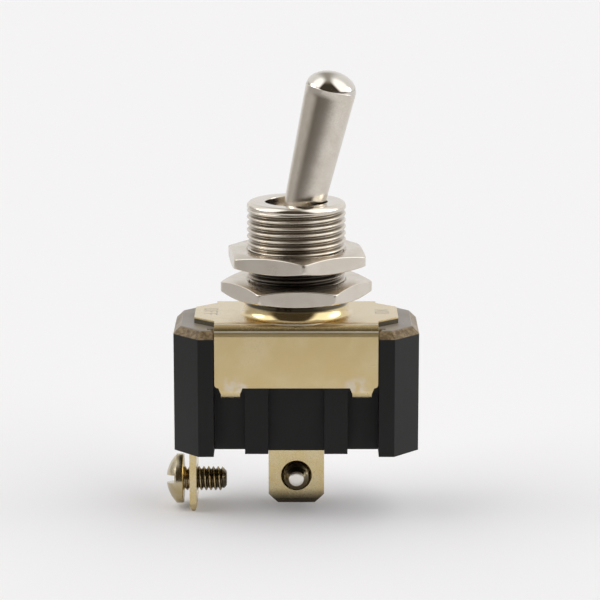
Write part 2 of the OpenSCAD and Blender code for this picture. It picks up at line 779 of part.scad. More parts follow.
// Centre terminal: its tang passes through the floor and is peened over the bracket.
module centre_terminal() {
  tang_top = floor_top + bracket_t;
  color([0.8, 0.7, 0.48]) {
    translate([0, 0, case_bottom - press_gap]) terminal_tab(centre_len - press_gap);
    block([-tang_w / 2, -term_t / 2, case_bottom - 0.3], [tang_w / 2, term_t / 2, tang_top + e]);
    block([-tang_w / 2 - 0.2, -term_t / 2 - 0.2, tang_top], [tang_w / 2 + 0.2, term_t / 2 + 0.2, tang_top + peen_h]);
  }
}

// End terminal: its foot lies in the channel under the case, and the rivet holds it.
module end_terminal() {
  foot_top = case_bottom + end_channel - press_gap;
  bend_r = term_t;
  inner_x = end_term_x - term_t;
  length = end_len + end_channel - press_gap - bend_r;
  color([0.8, 0.7, 0.48]) {
    translate([-end_term_x + term_t / 2, 0, foot_top - bend_r]) rotate([0, 0, 90])
      terminal_tab(length);
    translate([-inner_x, term_w / 2, foot_top - bend_r]) rotate([90, 0, 0]) intersection() {
      cylinder(r = bend_r, h = term_w);
      translate([-bend_r, 0, -1]) cube([bend_r, bend_r, term_w + 2]);
    }
    difference() {
      translate([0, 0, foot_top - term_t]) linear_extrude(term_t) {
        translate([-inner_x - e, -term_w / 2]) square([inner_x - cavity_x + 0.4, term_w]);
        translate([-inner_x, -foot_w / 2]) square([inner_x - foot_end, foot_w]);
      }
      translate([-fixed_x, 0, foot_top - 2]) cylinder(r = rivet_r + press_gap, h = 4);
    }
  }
}

// Contact rivet: its silver head is the fixed contact, and its tail holds the terminal.
module contact_rivet() {
  foot_under = case_bottom + end_channel - press_gap - term_t;
  color([0.85, 0.85, 0.86]) translate([-fixed_x, 0, 0]) {
    translate([0, 0, shelf_top]) cylinder(r = fixed_head_r, h = fixed_head);
    translate([0, 0, foot_under]) cylinder(r = rivet_r, h = shelf_top - foot_under + e);
    translate([0, 0, foot_under - rivet_tail]) cylinder(r1 = rivet_r + 0.3, r2 = rivet_r + 0.7, h = rivet_tail);
  }
}

// Binding-head screw that points along +Z, with the bearing face of its head at z = 0.
module binding_screw(turn) {
  crown = head_h - head_edge;
  crown_r = (head_r * head_r + crown * crown) / (2 * crown);
  undercut = 0.25;
  difference() {
    union() {
      translate([0, 0, -head_edge]) cylinder(r = head_r, h = head_edge);
      intersection() {
        translate([0, 0, -head_h + crown_r]) sphere(r = crown_r);
        translate([0, 0, -head_h - 1]) cylinder(r = head_r, h = head_h + 1 - head_edge + e);
      }
      translate([0, 0, -e]) cylinder(r = screw_r, h = screw_len - point_h + e);
      translate([0, 0, screw_len - point_h]) cylinder(r1 = screw_r, r2 = point_r, h = point_h);
    }
    rotate([0, 0, turn]) block([-head_r - 1, -slot_w / 2, -head_h - 1], [head_r + 1, slot_w / 2, -head_h + slot_d]);
    difference() {
      translate([0, 0, -undercut]) cylinder(r1 = screw_r + e, r2 = head_r - 0.35, h = undercut + e);
      translate([0, 0, -1]) cylinder(r = screw_r, h = 2);
    }
  }
}

// Screw of the centre terminal, entered from the back.
module centre_screw() {
  color([0.82, 0.74, 0.55])
    translate([0, screw_len - centre_screw_tip - term_t / 2, screw_z_centre])
      rotate([90, 0, 0]) binding_screw(slot_turn);
}

// Screw of the end terminal, entered from outside.
module end_screw() {
  color([0.82, 0.74, 0.55])
    translate([-end_term_x - end_screw_gap, 0, screw_z_end])
      rotate([0, 90, 0]) binding_screw(90 + slot_turn);
}

case();
cover_frame();
liner();
bushing();
face_nut();
back_nut();
lever();
pivot_pin();
plunger();
plunger_spring();
rocker();
moving_contact();
fulcrum_bracket();
centre_terminal();
end_terminal();
contact_rivet();
centre_screw();
end_screw();
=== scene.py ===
"""Panel toggle switch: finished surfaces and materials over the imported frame, in metres."""
import math

import bmesh
import bpy
import numpy as np
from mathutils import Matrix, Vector


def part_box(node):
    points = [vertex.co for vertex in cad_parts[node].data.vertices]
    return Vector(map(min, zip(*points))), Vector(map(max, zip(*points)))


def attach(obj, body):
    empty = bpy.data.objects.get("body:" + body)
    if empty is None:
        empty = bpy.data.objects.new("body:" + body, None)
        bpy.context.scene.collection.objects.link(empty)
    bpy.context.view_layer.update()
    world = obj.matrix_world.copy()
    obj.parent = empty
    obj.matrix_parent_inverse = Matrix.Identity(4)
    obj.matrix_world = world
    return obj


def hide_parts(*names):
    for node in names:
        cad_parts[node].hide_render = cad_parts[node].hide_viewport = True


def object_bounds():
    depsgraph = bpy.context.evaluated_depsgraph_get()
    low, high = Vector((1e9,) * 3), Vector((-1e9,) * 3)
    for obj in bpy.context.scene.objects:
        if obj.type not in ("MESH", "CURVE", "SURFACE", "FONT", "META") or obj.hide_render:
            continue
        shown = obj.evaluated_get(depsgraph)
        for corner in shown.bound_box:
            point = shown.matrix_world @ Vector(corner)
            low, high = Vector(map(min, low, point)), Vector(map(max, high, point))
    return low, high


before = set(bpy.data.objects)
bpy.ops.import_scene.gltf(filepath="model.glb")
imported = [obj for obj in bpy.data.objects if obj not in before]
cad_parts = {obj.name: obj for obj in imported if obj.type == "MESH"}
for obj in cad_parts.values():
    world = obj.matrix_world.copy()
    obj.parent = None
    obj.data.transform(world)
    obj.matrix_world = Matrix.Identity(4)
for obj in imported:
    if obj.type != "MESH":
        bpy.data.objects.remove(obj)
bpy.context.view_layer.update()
mm = 0.001

# sizes of the switch's own pieces, in millimetres
thread_r, thread_pitch, thread_depth = 5.95, 0.794, 0.42
pitch_r, mouth_r, rim_round = 5.7, 3.75, 0.6
thread_start = -0.3816
nut_across = {"face_nut": 15.76, "back_nut": 16.0}
nut_turn = {"face_nut": -84.0, "back_nut": 1.0}
nut_face_set, nut_drop, nut_sink = 0.12, 0.45, 0.4
lever_tilt, lever_len, tip_r, dome_h, neck_r, ball_r = 12.8, 20.7, 3.05, 2.15, 2.38, 4.1
pivot_depth = 4.63
screw_r, screw_pitch, screw_len, head_r, head_h, head_edge = 1.5, 0.58, 5.25, 3.03, 2.15, 0.85
point_r, point_h = 0.9, 0.6
slot_w, slot_d, slot_turn = 0.95, 1.05, -12.0
plate_thick = 0.75
crisp = 38  # degrees between two faces above which their edge stays sharp

# the view: the camera's pitch in degrees, its distance in millimetres, its focal length in
# widths of a frame 36 mm wide, and the point it looks at, in millimetres
view_pitch, view_far, view_focal = 12.29, 300, 4.1295
view_aim = (0.446, 0, -6.452)


def box_mm(node):
    """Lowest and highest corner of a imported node, in millimetres."""
    low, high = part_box(node)
    return np.array(low) / mm, np.array(high) / mm


rim_z = box_mm("bushing")[1][2]
pivot_z = rim_z - pivot_depth
nut_gap = (box_mm("back_nut")[1][2], box_mm("face_nut")[0][2])
case_top = box_mm("case")[1][2]
plate_top = case_top + plate_thick
centre_end = box_mm("centre_terminal")[0][2]
frame_end = box_mm("cover_frame")[0][2]
centre_axis_z = (box_mm("centre_screw")[0][2] + box_mm("centre_screw")[1][2]) / 2
end_axis_z = (box_mm("end_screw")[0][2] + box_mm("end_screw")[1][2]) / 2


# ---------------------------------------------------------------- surfaces

def ring_faces(rings, around, closed):
    """Quads between neighbouring rings of a grid; with closed, the last ring meets the first."""
    i = np.arange(rings if closed else rings - 1)[:, None]
    j = np.arange(around)[None, :]
    a = i * around + j
    b = i * around + (j + 1) % around
    c = ((i + 1) % rings) * around + (j + 1) % around
    d = ((i + 1) % rings) * around + j
    return np.stack([a, b, c, d], -1).reshape(-1, 4)


def shell(name, grid, closed=False):
    """A closed shell from a grid of rings. An open profile is closed by a pole at each end,
    the mean of its end ring; a closed profile runs back to its first ring, as a nut does."""
    rings, around, _ = grid.shape
    points = grid.reshape(-1, 3)
    faces = ring_faces(rings, around, closed).tolist()
    if not closed:
        points = np.vstack([points, grid[0].mean(0), grid[-1].mean(0)])
        j = np.arange(around)
        k = (j + 1) % around
        low, high = rings * around, rings * around + 1
        faces += np.stack([k, j, np.full(around, low)], -1).tolist()
        last = (rings - 1) * around
        faces += np.stack([last + j, last + k, np.full(around, high)], -1).tolist()
    mesh = bpy.data.meshes.new(name)
    mesh.from_pydata((points * mm).tolist(), [], faces)
    return finish_mesh(name, mesh)


def finish_mesh(name, mesh):
    """Turns the faces outward, shades them smooth and keeps the crisp edges sharp."""
    work = bmesh.new()
    work.from_mesh(mesh)
    bmesh.ops.remove_doubles(work, verts=work.verts, dist=2e-8)
    bmesh.ops.recalc_face_normals(work, faces=work.faces)
    work.to_mesh(mesh)
    work.free()
    return shaded(name, mesh)


def shaded(name, mesh):
    """Links a mesh as a piece of its own, smooth but for its crisp edges."""
    mesh.polygons.foreach_set("use_smooth", np.ones(len(mesh.polygons), bool))
    mesh.set_sharp_from_angle(angle=math.radians(crisp))
    mesh.update()
    piece = bpy.data.objects.new(name, mesh)
    bpy.context.scene.collection.objects.link(piece)
    return piece


def turned(profile, turns):
    """A profile of (radius, height) points turned about Z at the given angles in degrees."""
    profile = np.asarray(profile, float)
    angle = np.radians(turns)[None, :]
    r, z = profile[:, :1], profile[:, 1:]
    return np.stack([r * np.cos(angle), r * np.sin(angle), z + 0 * angle], -1)


def arc(cx, cz, r, start, stop, steps):
    """Points on a circle of radius r round (cx, cz), from start to stop degrees."""
    a = np.radians(np.linspace(start, stop, steps))
    return np.stack([cx + r * np.cos(a), cz + r * np.sin(a)], -1)


def refined(profile, step):
    """The profile with points added so that none of its straight runs is longer than step."""
    out = [profile[0]]
    for a, b in zip(profile[:-1], profile[1:]):
        n = max(1, int(math.ceil(np.linalg.norm(b - a) / step)))
        out += [a + (b - a) * k / n for k in range(1, n + 1)]
    return np.array(out)


def soften(piece, width, segments=2, angle=30):
    """Rounds the piece's edges by width millimetres and weights its normals by area."""
    bevel = piece.modifiers.new("edges", "BEVEL")
    bevel.width = width * mm
    bevel.segments = segments
    bevel.limit_method = "ANGLE"
    bevel.angle_limit = math.radians(angle)
    bevel.miter_outer = "MITER_ARC"
    weigh = piece.modifiers.new("normals", "WEIGHTED_NORMAL")
    weigh.keep_sharp = True
    return piece


def dressed(node, name, width, segments=2, angle=30):
    """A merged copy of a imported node, its flat faces rejoined and its edges rounded."""
    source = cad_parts[node].data
    work = bmesh.new()
    work.from_mesh(source)
    bmesh.ops.remove_doubles(work, verts=work.verts, dist=1e-7)
    bmesh.ops.dissolve_limit(
        work, angle_limit=math.radians(0.8), verts=work.verts, edges=work.edges)
    mesh = bpy.data.meshes.new(name)
    work.to_mesh(mesh)
    work.free()
    return soften(shaded(name, mesh), width, segments, angle)


def smooth(x, low, high):
    """0 below low and 1 above high, with an even start and end, for numpy arrays."""
    t = np.clip((x - low) / (high - low), 0, 1)
    return t * t * (3 - 2 * t)


def thread_wave(phase):
    """Height from 0 at the root to 1 at the crest over one turn: the distance from the crest's
    middle, stretched, clipped and rounded with a cosine, as a worn and plated thread is."""
    away = np.abs((phase + 0.5) % 1.0 - 0.5) * 2
    return 0.5 - 0.5 * np.cos(math.pi * np.clip((0.95 - away) / 0.88, 0, 1))


# ---------------------------------------------------------------- shader expressions

class Value:
    """One socket's value. The usual operators add Math nodes to its tree."""

    def __init__(self, bench, socket):
        self.bench, self.socket = bench, socket

    def __add__(self, other): return self.bench.math("ADD", self, other)
    def __radd__(self, other): return self.bench.math("ADD", other, self)
    def __sub__(self, other): return self.bench.math("SUBTRACT", self, other)
    def __rsub__(self, other): return self.bench.math("SUBTRACT", other, self)
    def __mul__(self, other): return self.bench.math("MULTIPLY", self, other)
    def __rmul__(self, other): return self.bench.math("MULTIPLY", other, self)
    def __truediv__(self, other): return self.bench.math("DIVIDE", self, other)
    def __pow__(self, other): return self.bench.math("POWER", self, other)
    def __neg__(self): return self.bench.math("MULTIPLY", self, -1.0)
    def __abs__(self): return self.bench.math("ABSOLUTE", self)

    def most(self, other): return self.bench.math("MAXIMUM", self, other)

    def step(self, low, high):
        """0 below low, 1 above high and an eased ramp between; low above high turns it round."""
        return self.bench.node(
            "ShaderNodeMapRange", {"interpolation_type": "SMOOTHSTEP"},
            {"Value": self, "From Min": low, "From Max": high, "To Min": 0.0, "To Max": 1.0},
        )["Result"]

    def near(self, centre, outside, inside):
        """1 where the value is within inside of the centre, falling to 0 at outside."""
        return abs(self - centre).step(outside, inside)


class Outputs:
    """A node's outputs by name."""

    def __init__(self, bench, node):
        self.bench, self.node = bench, node

    def __getitem__(self, key):
        return Value(self.bench, self.node.outputs[key])


class Bench:
    """Builds one material's or the world's node tree."""

    def __init__(self, tree):
        self.tree = tree
        tree.nodes.clear()

    def node(self, kind, settings=None, inputs=None):
        """One node of any type: its settings first, then its sockets' values or links."""
        made = self.tree.nodes.new(kind)
        for key, value in (settings or {}).items():
            setattr(made, key, value)
        for key, value in (inputs or {}).items():
            self.put(made.inputs[key], value)
        return Outputs(self, made)

    def put(self, socket, value):
        if isinstance(value, Value):
            self.tree.links.new(value.socket, socket)
        elif isinstance(value, tuple) and socket.type == "RGBA":
            socket.default_value = (*value, 1.0) if len(value) == 3 else value
        else:
            socket.default_value = value

    def math(self, operation, a, b=None):
        inputs = {0: a} if b is None else {0: a, 1: b}
        return self.node("ShaderNodeMath", {"operation": operation}, inputs)["Value"]

    def mix(self, share, a, b):
        """Colour a where share is 0 and b where it is 1."""
        made = self.tree.nodes.new("ShaderNodeMix")
        made.data_type = "RGBA"
        self.put(made.inputs[0], share)
        self.put(made.inputs[6], a)
        self.put(made.inputs[7], b)
        return Value(self, made.outputs[2])

    def noise(self, where, size, detail=2.0, rough=0.5, stretch=None):
        """Even noise from 0 to 1 whose features are about size millimetres across."""
        if stretch:
            where = self.node(
                "ShaderNodeMapping", {}, {"Vector": where, "Scale": Vector(stretch)})["Vector"]
        return self.node(
            "ShaderNodeTexNoise", {"noise_dimensions": "3D"},
            {"Vector": where, "Scale": 1 / (size * mm), "Detail": detail, "Roughness": rough},
        )["Fac"]

    def bump(self, height, depth, below=None):
        """Normals of a height map from 0 to 1 that is depth millimetres deep."""
        inputs = {"Height": height, "Distance": depth * mm, "Strength": 1.0}
        if below is not None:
            inputs["Normal"] = below
        return self.node("ShaderNodeBump", {}, inputs)["Normal"]


def material(name, build, **fixed):
    """A Principled material: fixed values sit on its own sockets, and build(bench, where)
    returns the sockets that vary, where being the Object coordinates."""
    made = bpy.data.materials.new(name)
    made.use_nodes = True
    bench = Bench(made.node_tree)
    where = bench.node("ShaderNodeTexCoord")["Object"]
    varied = build(bench, where)
    shader = bench.node("ShaderNodeBsdfPrincipled", {}, {
        **{key.replace("_", " "): value for key, value in fixed.items()}, **varied})
    bench.node("ShaderNodeOutputMaterial", {}, {"Surface": shader["BSDF"]})
    return made


def parts_of(bench, where):
    """X, Y and Z of the Object coordinates, in millimetres."""
    split = bench.node("ShaderNodeSeparateXYZ", {}, {"Vector": where})
    return tuple(split[axis] * (1 / mm) for axis in "XYZ")


# ---------------------------------------------------------------- materials

def nickel_plate(bench, where):
    """Bright nickel on the bushing: fine pits, light tarnish that is dark in the thread's
    roots, a worn, brighter rim, and painted shade on the thread between the nuts, thinner
    out at the sides."""
    x, y, z = parts_of(bench, where)
    cloud = bench.noise(where, 2.6, 3)
    grit = bench.noise(where, 0.09, 2)
    tone = bench.mix(cloud.step(0.35, 0.7), (0.71, 0.66, 0.585), (0.65, 0.59, 0.51))
    from_axis = (x * x + y * y) ** 0.5
    under_rim = (rim_z - rim_round - 0.02 - z).step(-0.05, 0.1)
    outside = from_axis.step(mouth_r + 1.2, mouth_r + 1.4)
    root = from_axis.step(thread_r - 0.07, thread_r - 0.30) * under_rim
    root = root * outside * (1 - 0.35 * abs(x).step(3.2, 5.4))
    tone = bench.mix(root * (0.6 + 0.3 * cloud), tone, (0.16, 0.13, 0.09))
    gap_low, gap_high = nut_gap
    # painted shade: the thread between the two nuts is darkened, less so out at the left and
    # right
    between_nuts_shade = z.step(gap_low - 0.25, gap_low + 0.1) * z.step(gap_high + 0.25, gap_high - 0.1)
    between_nuts_shade = between_nuts_shade * (1 - 0.8 * abs(x).step(4.3, 5.6))
    tone = bench.mix(between_nuts_shade * 0.86, tone, (0.035, 0.03, 0.025))
    rim = z.step(rim_z - 0.75, rim_z - 0.6)
    tone = bench.mix(rim * 0.6, tone, (0.78, 0.735, 0.665))
    gloss = 0.17 + 0.07 * cloud.step(0.3, 0.75) + 0.06 * (grit - 0.5)
    gloss = gloss + 0.15 * between_nuts_shade - 0.05 * rim
    return {"Base Color": tone, "Roughness": gloss, "Normal": bench.bump(grit, 0.0022)}


def nut_nickel(bench, where):
    """Satin nickel on the tumbled nuts: fine pits, light tarnish and short rubs."""
    cloud = bench.noise(where, 2.6, 3)
    grit = bench.noise(where, 0.09, 2)
    rub = bench.noise(where, 0.5, 3, 0.6, (1.0, 1.0, 7.0))
    tone = bench.mix(cloud.step(0.35, 0.7), (0.735, 0.68, 0.605), (0.69, 0.63, 0.545))
    tone = bench.mix(rub.step(0.56, 0.74) * 0.3, tone, (0.75, 0.71, 0.65))
    gloss = 0.21 + 0.06 * cloud.step(0.3, 0.75) + 0.07 * (grit - 0.5)
    height = grit * 0.6 + rub * 0.4
    return {"Base Color": tone, "Roughness": gloss, "Normal": bench.bump(height, 0.0035)}


def lever_nickel(bench, where):
    """Blasted satin nickel on the lever, and a polished dome past its crisp edge."""
    x, _, z = parts_of(bench, where)
    t = math.radians(lever_tilt)
    along = x * math.sin(t) + (z - pivot_z) * math.cos(t)
    dome_edge = lever_len - dome_h
    dome = along.step(dome_edge - 0.02, dome_edge + 0.04)
    grit = bench.noise(where, 0.17, 2, 0.6)
    cloud = bench.noise(where, 1.7, 3)
    tone = bench.mix(cloud.step(0.35, 0.7), (0.755, 0.705, 0.63), (0.70, 0.645, 0.565))
    tone = bench.mix((grit - 0.5).step(-0.12, 0.16) * 0.2, tone, (0.40, 0.35, 0.28))
    tone = bench.mix(dome, tone, (0.70, 0.665, 0.61))
    satin = 0.17 + 0.09 * (grit - 0.5) + 0.04 * cloud
    gloss = satin * (1 - dome) + 0.07 * dome
    height = (grit * 0.7 + 0.3 * bench.noise(where, 0.4, 2)) * (1 - dome)
    return {"Base Color": tone, "Roughness": gloss, "Normal": bench.bump(height, 0.0055)}


def bar(u, v, cu, cv, half_long, half_wide, turn=0.0):
    """1 inside a bar of a stamped letter, centred on (cu, cv) and turned, with soft sides."""
    c, s = math.cos(math.radians(turn)), math.sin(math.radians(turn))
    du, dv = u - cu, v - cv
    out = (abs(du * c + dv * s) - half_long).most(abs(dv * c - du * s) - half_wide)
    return out.step(0.07, -0.05)


def letter(kind, u, v, cu, cv):
    """A plain capital, u running along its line and v up. w and h are half its width and
    height, and s is half its stroke, in millimetres."""
    w, h, s = 0.46, 0.85, 0.1
    bars = {
        "O": [(0, h - s, w - 0.12, s, 0), (0, s - h, w - 0.12, s, 0),
              (s - w, 0, s, h - 0.14, 0), (w - s, 0, s, h - 0.14, 0)],
        "N": [(s - w, 0, s, h, 0), (w - s, 0, s, h, 0), (0, 0, h * 1.02, s, -62)],
        "F": [(s - w, 0, s, h, 0), (0.02, h - s, w - 0.02, s, 0), (-0.06, 0.06, w - 0.12, s, 0)],
    }[kind]
    mark = None
    for bu, bv, long, wide, turn in bars:
        one = bar(u, v, cu + bu, cv + bv, long, wide, turn)
        mark = one if mark is None else mark.most(one)
    return mark


def on_and_off(x, y):
    """The words ON and OFF stamped into the plate's right and left ends, read from the sides."""
    from_middle, spacing = 10.35, 1.3
    mark = None
    for word, side in (("ON", 1), ("OFF", -1)):
        u, v = y * side, x * -side + from_middle
        for k, kind in enumerate(word):
            place = (k - (len(word) - 1) / 2) * spacing
            one = letter(kind, u, v, place, 0.0)
            mark = one if mark is None else mark.most(one)
    return mark


def yellow_zinc(bench, where):
    """Yellow chromated zinc on stamped sheet: gold that drifts to straw, rose and green in
    patches, and a fine crystalline grain. The start and the end of each fold carry a painted
    highlight and the round between them painted shade. The staking tabs are worn bright in
    patches, the sheared edges carry painted shade and dark reflection, the strip under the
    nut is painted shade, and the two words are stamped."""
    x, y, z = parts_of(bench, where)
    patch = bench.noise(where, 5.5, 3, 0.55)
    drift = bench.noise(where, 1.5, 3, 0.6)
    grain = bench.noise(where, 0.11, 2, 0.6)
    roll = bench.noise(where, 0.5, 2, 0.5, (1.0, 1.0, 0.25))
    tone = bench.mix(patch.step(0.34, 0.66), (0.71, 0.545, 0.262), (0.76, 0.62, 0.35))
    tone = bench.mix(drift.step(0.56, 0.72) * 0.18, tone, (0.72, 0.53, 0.33))
    tone = bench.mix(drift.step(0.42, 0.30) * 0.14, tone, (0.61, 0.58, 0.33))
    tone = bench.mix((grain - 0.5).step(-0.25, 0.3) * 0.20, tone, (0.50, 0.38, 0.18))
    # painted highlight: a bright line where each fold starts
    fold_start_highlight = z.near(plate_top - 0.09, 0.09, 0.02) * abs(y).step(6.1, 6.3)
    fold_start_highlight = fold_start_highlight * abs(x).step(9.9, 9.6)
    # painted shade: a darker band on the round of each fold
    fold_round_shade = z.near(plate_top - 0.52, 0.36, 0.10) * abs(y).step(6.4, 6.6)
    # painted highlight: a bright line where each fold ends; both highlights are mixed in below
    fold_end_highlight = z.near(plate_top - 0.87, 0.15, 0.04) * abs(y).step(6.9, 7.1)
    fold_highlights = (fold_end_highlight * 0.8).most(fold_start_highlight * 0.85)
    tone = bench.mix(fold_round_shade * 0.55, tone, (0.33, 0.245, 0.12))
    tone = bench.mix(fold_highlights, tone, (0.86, 0.81, 0.71))
    tabs = abs(x).near(7.2, 1.7, 1.0)
    worn = tabs * z.step(frame_end + 0.75, frame_end + 1.1)
    worn = worn * z.step(frame_end + 3.2, frame_end + 1.7)
    tone = bench.mix(worn * drift.step(0.38, 0.58) * 0.55, tone, (0.80, 0.75, 0.67))
    # painted shade: a dark strip round the top of the collar just under the back nut
    under_nut_shade = z.step(plate_top + 1.14, plate_top + 1.38)
    # painted shade and dark reflection on the sheared edges at the plate's ends
    sheared = z.step(plate_top - 0.12, plate_top - 0.24) * abs(x).step(9.76, 9.84)
    tone = bench.mix((0.9 * under_nut_shade).most(0.92 * sheared), tone, (0.02, 0.016, 0.01))
    mark = on_and_off(x, y)
    tone = bench.mix(mark * 0.8, tone, (0.30, 0.21, 0.09))
    collar = z.step(plate_top + 0.12, plate_top + 0.4)
    below = z.near(plate_top - 1.18, 0.22, 0.08) * abs(y).step(6.9, 7.1)
    gloss = 0.23 + 0.06 * patch + 0.10 * (grain - 0.5) + 0.08 * mark - 0.13 * collar
    gloss = gloss + 0.34 * fold_end_highlight + 0.3 * fold_start_highlight + 0.2 * below
    normal = bench.bump(grain * 0.5 + roll * 0.5, 0.004)
    normal = bench.bump(1 - mark, 0.06, normal)
    return {"Base Color": tone, "Roughness": gloss, "Normal": normal}


def terminal_plate(bench, where):
    """Thin yellow plating on the brass terminals, worn in places and darker towards the
    centre terminal's lower end."""
    x, _, z = parts_of(bench, where)
    patch = bench.noise(where, 2.2, 3, 0.55)
    grain = bench.noise(where, 0.12, 2, 0.6)
    tone = bench.mix(patch.step(0.35, 0.68), (0.75, 0.60, 0.31), (0.79, 0.665, 0.40))
    tone = bench.mix((grain - 0.5).step(-0.2, 0.3) * 0.2, tone, (0.50, 0.38, 0.20))
    # darker towards the centre terminal's lower end, with a ragged edge
    lower_end_dark = (z + 0.3 * patch).step(centre_end + 2.3, centre_end + 0.55) * abs(x).step(5.0, 4.0)
    tone = bench.mix(lower_end_dark * 0.92, tone, (0.035, 0.027, 0.018))
    gloss = 0.24 + 0.07 * patch + 0.10 * (grain - 0.5)
    return {"Base Color": tone, "Roughness": gloss, "Normal": bench.bump(grain, 0.004)}


def screw_plate(bench, where):
    """Yellow zinc on the screws: painted shade and dark reflection down in the threads, and
    bare and bright on the flat end of the centre screw."""
    x, y, z = parts_of(bench, where)
    patch = bench.noise(where, 1.6, 3, 0.55)
    grain = bench.noise(where, 0.10, 2, 0.6)
    tone = bench.mix(patch.step(0.35, 0.68), (0.53, 0.425, 0.24), (0.575, 0.515, 0.385))
    from_centre_axis = (x * x + (z - centre_axis_z) ** 2.0) ** 0.5
    centre_shank = y.step(0.6, 0.3) * abs(x).step(2.2, 1.9)
    from_end_axis = (y * y + (z - end_axis_z) ** 2.0) ** 0.5
    end_shank = x.step(-13.1, -12.9) * x.step(-4.0, -5.0)
    flat_end = centre_shank * from_centre_axis.step(point_r + 0.02, point_r - 0.06)
    # painted shade and dark reflection: the end screw's thread roots and the centre screw's whole
    # thread past its flat end are darkened
    threads = centre_shank * from_centre_axis.step(point_r - 0.02, point_r + 0.06)
    threads = threads.most(end_shank * from_end_axis.step(screw_r - 0.02, screw_r - 0.22))
    tone = bench.mix(flat_end, tone, (0.93, 0.90, 0.85))
    tone = bench.mix(threads * 0.8, tone, (0.075, 0.055, 0.03))
    gloss = 0.18 + 0.07 * patch + 0.06 * (grain - 0.5)
    return {"Base Color": tone, "Roughness": gloss, "Normal": bench.bump(grain, 0.003)}


def moulded_phenolic(bench, where):
    """Black phenolic: satin from the mould, with flow clouds, a fine filler grain, and on its
    top faces a brown layer that is part dust and part painted reflection: grey beige on the
    flat top and golden brown on the bevel."""
    z = parts_of(bench, where)[2]
    flow = bench.noise(where, 4.5, 4, 0.55, (1.0, 1.0, 0.45))
    grain = bench.noise(where, 0.16, 3, 0.6)
    dust = bench.noise(where, 0.7, 4, 0.7)
    tone = bench.mix(flow.step(0.35, 0.7), (0.0014, 0.0011, 0.0010), (0.0026, 0.0022, 0.0020))
    tone = bench.mix(dust.step(0.62, 0.78) * 0.3, tone, (0.025, 0.022, 0.019))
    # part dust, part painted reflection: the top faces turn grey beige on the flat and golden
    # brown on the bevel
    top = z.step(case_top - 0.99, case_top - 0.88)
    flat = z.step(case_top - 0.14, case_top - 0.04)
    dust_and_reflection = bench.mix(dust.step(0.38, 0.62), (0.13, 0.082, 0.034), (0.31, 0.225, 0.12))
    dust_and_reflection = bench.mix(flat, dust_and_reflection, (0.30, 0.262, 0.222))
    tone = bench.mix(top * 0.9, tone, dust_and_reflection)
    gloss = 0.40 + 0.10 * flow.step(0.3, 0.7) + 0.10 * (grain - 0.5) - 0.12 * top
    return {"Base Color": tone, "Roughness": gloss, "Normal": bench.bump(grain, 0.005)}


def speckled(light, dark, size, low, high, depth=0.006):
    """A finish that drifts between two tones, with a grain of the given size in millimetres."""
    def build(bench, where):
        patch = bench.noise(where, size * 9, 3)
        grain = bench.noise(where, size, 3, 0.6)
        tone = bench.mix(patch.step(0.35, 0.68), light, dark)
        gloss = low + (high - low) * (0.6 * patch + 0.4 * grain)
        return {"Base Color": tone, "Roughness": gloss, "Normal": bench.bump(grain, depth)}
    return build


nickel = material("bushing_nickel", nickel_plate, Metallic=1.0)
nut_finish = material("nut_nickel", nut_nickel, Metallic=1.0)
lever_finish = material("lever_nickel", lever_nickel, Metallic=1.0)
zinc = material("yellow_zinc", yellow_zinc, Metallic=1.0,
                Coat_Weight=0.7, Coat_Roughness=0.16, Coat_IOR=1.5)
terminal_finish = material("terminal_plate", terminal_plate, Metallic=1.0,
                           Coat_Weight=0.5, Coat_Roughness=0.16, Coat_IOR=1.5)
screw_finish = material("screw_plate", screw_plate, Metallic=1.0)
phenolic = material("black_phenolic", moulded_phenolic, Metallic=0.0, IOR=1.42)
fibre = material("fibre_board", speckled(
    (0.33, 0.17, 0.08), (0.24, 0.12, 0.055), 0.2, 0.6, 0.85, 0.02), Metallic=0.0)
steel = material("drawn_steel", speckled(
    (0.56, 0.55, 0.54), (0.47, 0.46, 0.45), 0.08, 0.22, 0.4), Metallic=1.0)
nylon = material("natural_nylon", speckled(
    (0.76, 0.72, 0.62), (0.68, 0.63, 0.53), 0.15, 0.35, 0.55, 0.01), Metallic=0.0)
copper = material("copper_alloy", speckled(
    (0.72, 0.42, 0.22), (0.60, 0.34, 0.17), 0.1, 0.25, 0.45), Metallic=1.0)
silver = material("contact_silver", speckled(
    (0.86, 0.85, 0.82), (0.74, 0.72, 0.68), 0.08, 0.15, 0.35), Metallic=1.0)


# ---------------------------------------------------------------- turned pieces

